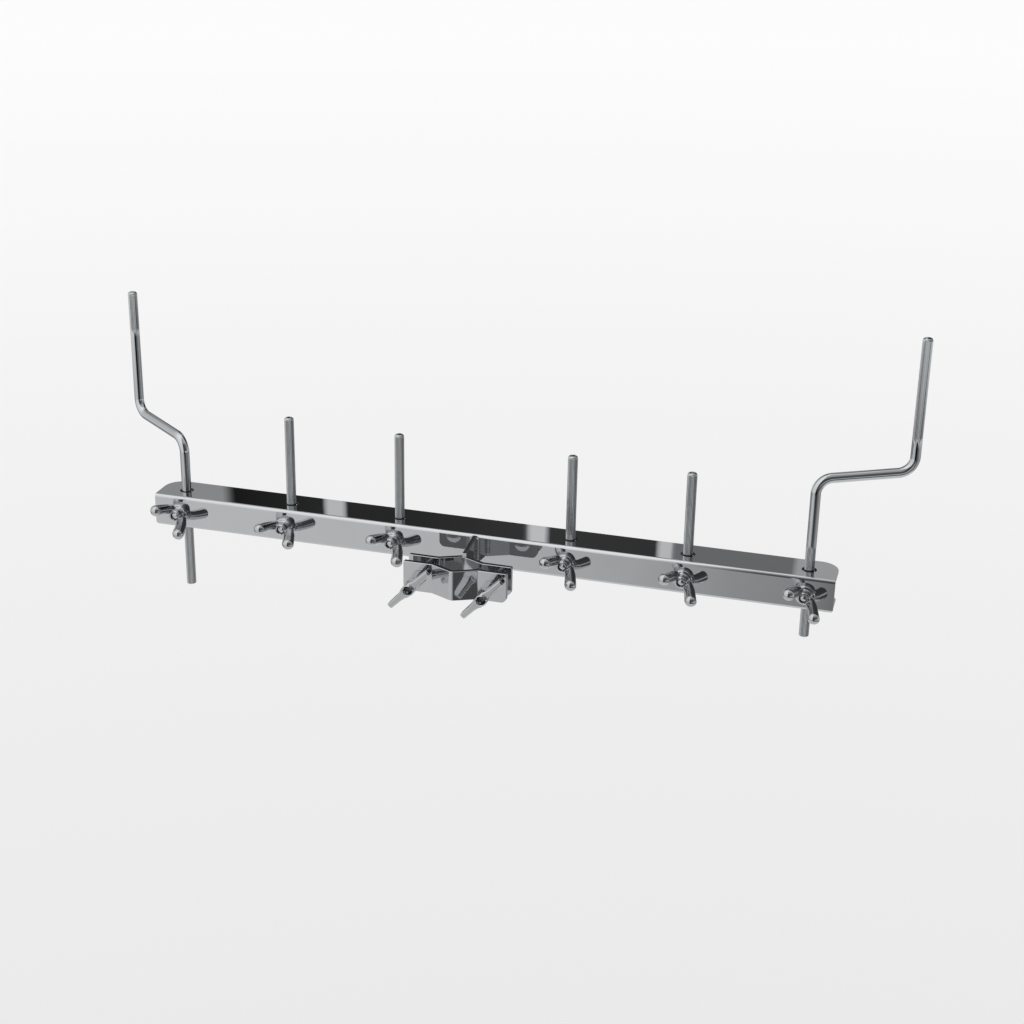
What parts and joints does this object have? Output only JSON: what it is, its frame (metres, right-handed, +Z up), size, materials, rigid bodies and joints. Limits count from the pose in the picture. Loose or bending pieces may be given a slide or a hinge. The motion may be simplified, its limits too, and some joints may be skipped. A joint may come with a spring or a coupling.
{
  "type": "percussion mounting rack",
  "caption": "Folded steel rail with upright and double-bent mounting rods, each drawn tight by an eye bolt and wing nut, on a vee-jaw clamp for a round stand tube.",
  "frame": {"origin": "on the axis of the stand tube in the clamp, at the middle of the jaws' height", "axes": "+X along the rail, +Y from the tube to the rail's open rear, +Z up along the rods"},
  "size_m": [0.8894, 0.1921, 0.3624],
  "materials": {
    "rail_chrome": "bright chrome plate on folded sheet steel",
    "clamp_chrome": "bright chrome plate on folded plate",
    "cast_chrome": "bright chrome plate on die castings, slightly soft",
    "rod_chrome": "bright chrome plate on steel rod, partly straight knurled",
    "screw_chrome": "chrome plate on turned steel"
  },
  "bodies": {
    "rack": {"rail": "rail_chrome", "clamp_neck": "clamp_chrome", "rear_jaw": "clamp_chrome", "clamp_bolt_left": "screw_chrome", "clamp_bolt_right": "screw_chrome", "rail_washer_1": "screw_chrome", "rail_washer_2": "screw_chrome", "rail_washer_3": "screw_chrome", "rail_washer_4": "screw_chrome", "rail_washer_5": "screw_chrome", "rail_washer_6": "screw_chrome"},
    "front_jaw": {"front_jaw": "clamp_chrome", "clamp_washer_left": "screw_chrome", "clamp_washer_right": "screw_chrome"},
    "clamp_nut_left": {"clamp_wing_nut_left": "cast_chrome"},
    "clamp_nut_right": {"clamp_wing_nut_right": "cast_chrome"},
    "rail_nut_1": {"rail_wing_nut_1": "cast_chrome"},
    "eye_1": {"eye_bolt_1": "screw_chrome"},
    "rod_1": {"z_rod_1": "rod_chrome"},
    "rail_nut_2": {"rail_wing_nut_2": "cast_chrome"},
    "eye_2": {"eye_bolt_2": "screw_chrome"},
    "rod_2": {"straight_rod_2": "rod_chrome"},
    "rail_nut_3": {"rail_wing_nut_3": "cast_chrome"},
    "eye_3": {"eye_bolt_3": "screw_chrome"},
    "rod_3": {"straight_rod_3": "rod_chrome"},
    "rail_nut_4": {"rail_wing_nut_4": "cast_chrome"},
    "eye_4": {"eye_bolt_4": "screw_chrome"},
    "rod_4": {"straight_rod_4": "rod_chrome"},
    "rail_nut_5": {"rail_wing_nut_5": "cast_chrome"},
    "eye_5": {"eye_bolt_5": "screw_chrome"},
    "rod_5": {"straight_rod_5": "rod_chrome"},
    "rail_nut_6": {"rail_wing_nut_6": "cast_chrome"},
    "eye_6": {"eye_bolt_6": "screw_chrome"},
    "rod_6": {"z_rod_6": "rod_chrome"}
  },
  "joints": [
    {"name": "front_jaw_slide", "type": "slide", "parent": "rack", "child": "front_jaw", "axis": [0, -1, 0], "range_m": [-0.005, 0.00625]},
    {"name": "clamp_nut_left_turn", "type": "hinge", "parent": "front_jaw", "child": "clamp_nut_left", "pos_m": [-0.0394, -0.01373, 0], "axis": [0, -1, 0], "range_deg": [-1440.5, 1800.5]},
    {"name": "clamp_nut_right_turn", "type": "hinge", "parent": "front_jaw", "child": "clamp_nut_right", "pos_m": [0.0394, -0.01373, 0], "axis": [0, -1, 0], "range_deg": [-1440.5, 1800.5]},
    {"name": "rail_nut_1_turn", "type": "hinge", "parent": "rack", "child": "rail_nut_1", "pos_m": [-0.3475, 0.0583, 0.006], "axis": [0, -1, 0], "range_deg": [-0.5, 360.5]},
    {"name": "eye_1_draw", "type": "slide", "parent": "rack", "child": "eye_1", "axis": [0, 1, 0], "range_m": [0, 0.00125]},
    {"name": "rod_1_swivel", "type": "hinge", "parent": "eye_1", "child": "rod_1", "pos_m": [-0.3475, 0.081, 0.006], "axis": [0, 0, 1], "continuous": true},
    {"name": "rail_nut_2_turn", "type": "hinge", "parent": "rack", "child": "rail_nut_2", "pos_m": [-0.22, 0.0583, 0.006], "axis": [0, -1, 0], "range_deg": [-0.5, 360.5]},
    {"name": "eye_2_draw", "type": "slide", "parent": "rack", "child": "eye_2", "axis": [0, 1, 0], "range_m": [0, 0.00125]},
    {"name": "rod_2_height", "type": "slide", "parent": "eye_2", "child": "rod_2", "axis": [0, 0, 1], "range_m": [-0.08, 0.003]},
    {"name": "rail_nut_3_turn", "type": "hinge", "parent": "rack", "child": "rail_nut_3", "pos_m": [-0.0925, 0.0583, 0.006], "axis": [0, -1, 0], "range_deg": [-0.5, 360.5]},
    {"name": "eye_3_draw", "type": "slide", "parent": "rack", "child": "eye_3", "axis": [0, 1, 0], "range_m": [0, 0.00125]},
    {"name": "rod_3_height", "type": "slide", "parent": "eye_3", "child": "rod_3", "axis": [0, 0, 1], "range_m": [-0.08, 0.003]},
    {"name": "rail_nut_4_turn", "type": "hinge", "parent": "rack", "child": "rail_nut_4", "pos_m": [0.1005, 0.0583, 0.006], "axis": [0, -1, 0], "range_deg": [-0.5, 360.5]},
    {"name": "eye_4_draw", "type": "slide", "parent": "rack", "child": "eye_4", "axis": [0, 1, 0], "range_m": [0, 0.00125]},
    {"name": "rod_4_height", "type": "slide", "parent": "eye_4", "child": "rod_4", "axis": [0, 0, 1], "range_m": [-0.08, 0.003]},
    {"name": "rail_nut_5_turn", "type": "hinge", "parent": "rack", "child": "rail_nut_5", "pos_m": [0.228, 0.0583, 0.006], "axis": [0, -1, 0], "range_deg": [-0.5, 360.5]},
    {"name": "eye_5_draw", "type": "slide", "parent": "rack", "child": "eye_5", "axis": [0, 1, 0], "range_m": [0, 0.00125]},
    {"name": "rod_5_height", "type": "slide", "parent": "eye_5", "child": "rod_5", "axis": [0, 0, 1], "range_m": [-0.08, 0.003]},
    {"name": "rail_nut_6_turn", "type": "hinge", "parent": "rack", "child": "rail_nut_6", "pos_m": [0.3555, 0.0583, 0.006], "axis": [0, -1, 0], "range_deg": [-0.5, 360.5]},
    {"name": "eye_6_draw", "type": "slide", "parent": "rack", "child": "eye_6", "axis": [0, 1, 0], "range_m": [0, 0.00125]},
    {"name": "rod_6_swivel", "type": "hinge", "parent": "eye_6", "child": "rod_6", "pos_m": [0.3555, 0.081, 0.006], "axis": [0, 0, 1], "continuous": true}
  ],
  "couplings": [
    {"joint": "clamp_nut_left_turn", "follows": "front_jaw_slide", "rad_per_m": 5026.5},
    {"joint": "clamp_nut_right_turn", "follows": "front_jaw_slide", "rad_per_m": 5026.5},
    {"joint": "rail_nut_1_turn", "follows": "eye_1_draw", "rad_per_m": 5026.5},
    {"joint": "rail_nut_2_turn", "follows": "eye_2_draw", "rad_per_m": 5026.5},
    {"joint": "rail_nut_3_turn", "follows": "eye_3_draw", "rad_per_m": 5026.5},
    {"joint": "rail_nut_4_turn", "follows": "eye_4_draw", "rad_per_m": 5026.5},
    {"joint": "rail_nut_5_turn", "follows": "eye_5_draw", "rad_per_m": 5026.5},
    {"joint": "rail_nut_6_turn", "follows": "eye_6_draw", "rad_per_m": 5026.5}
  ]
}
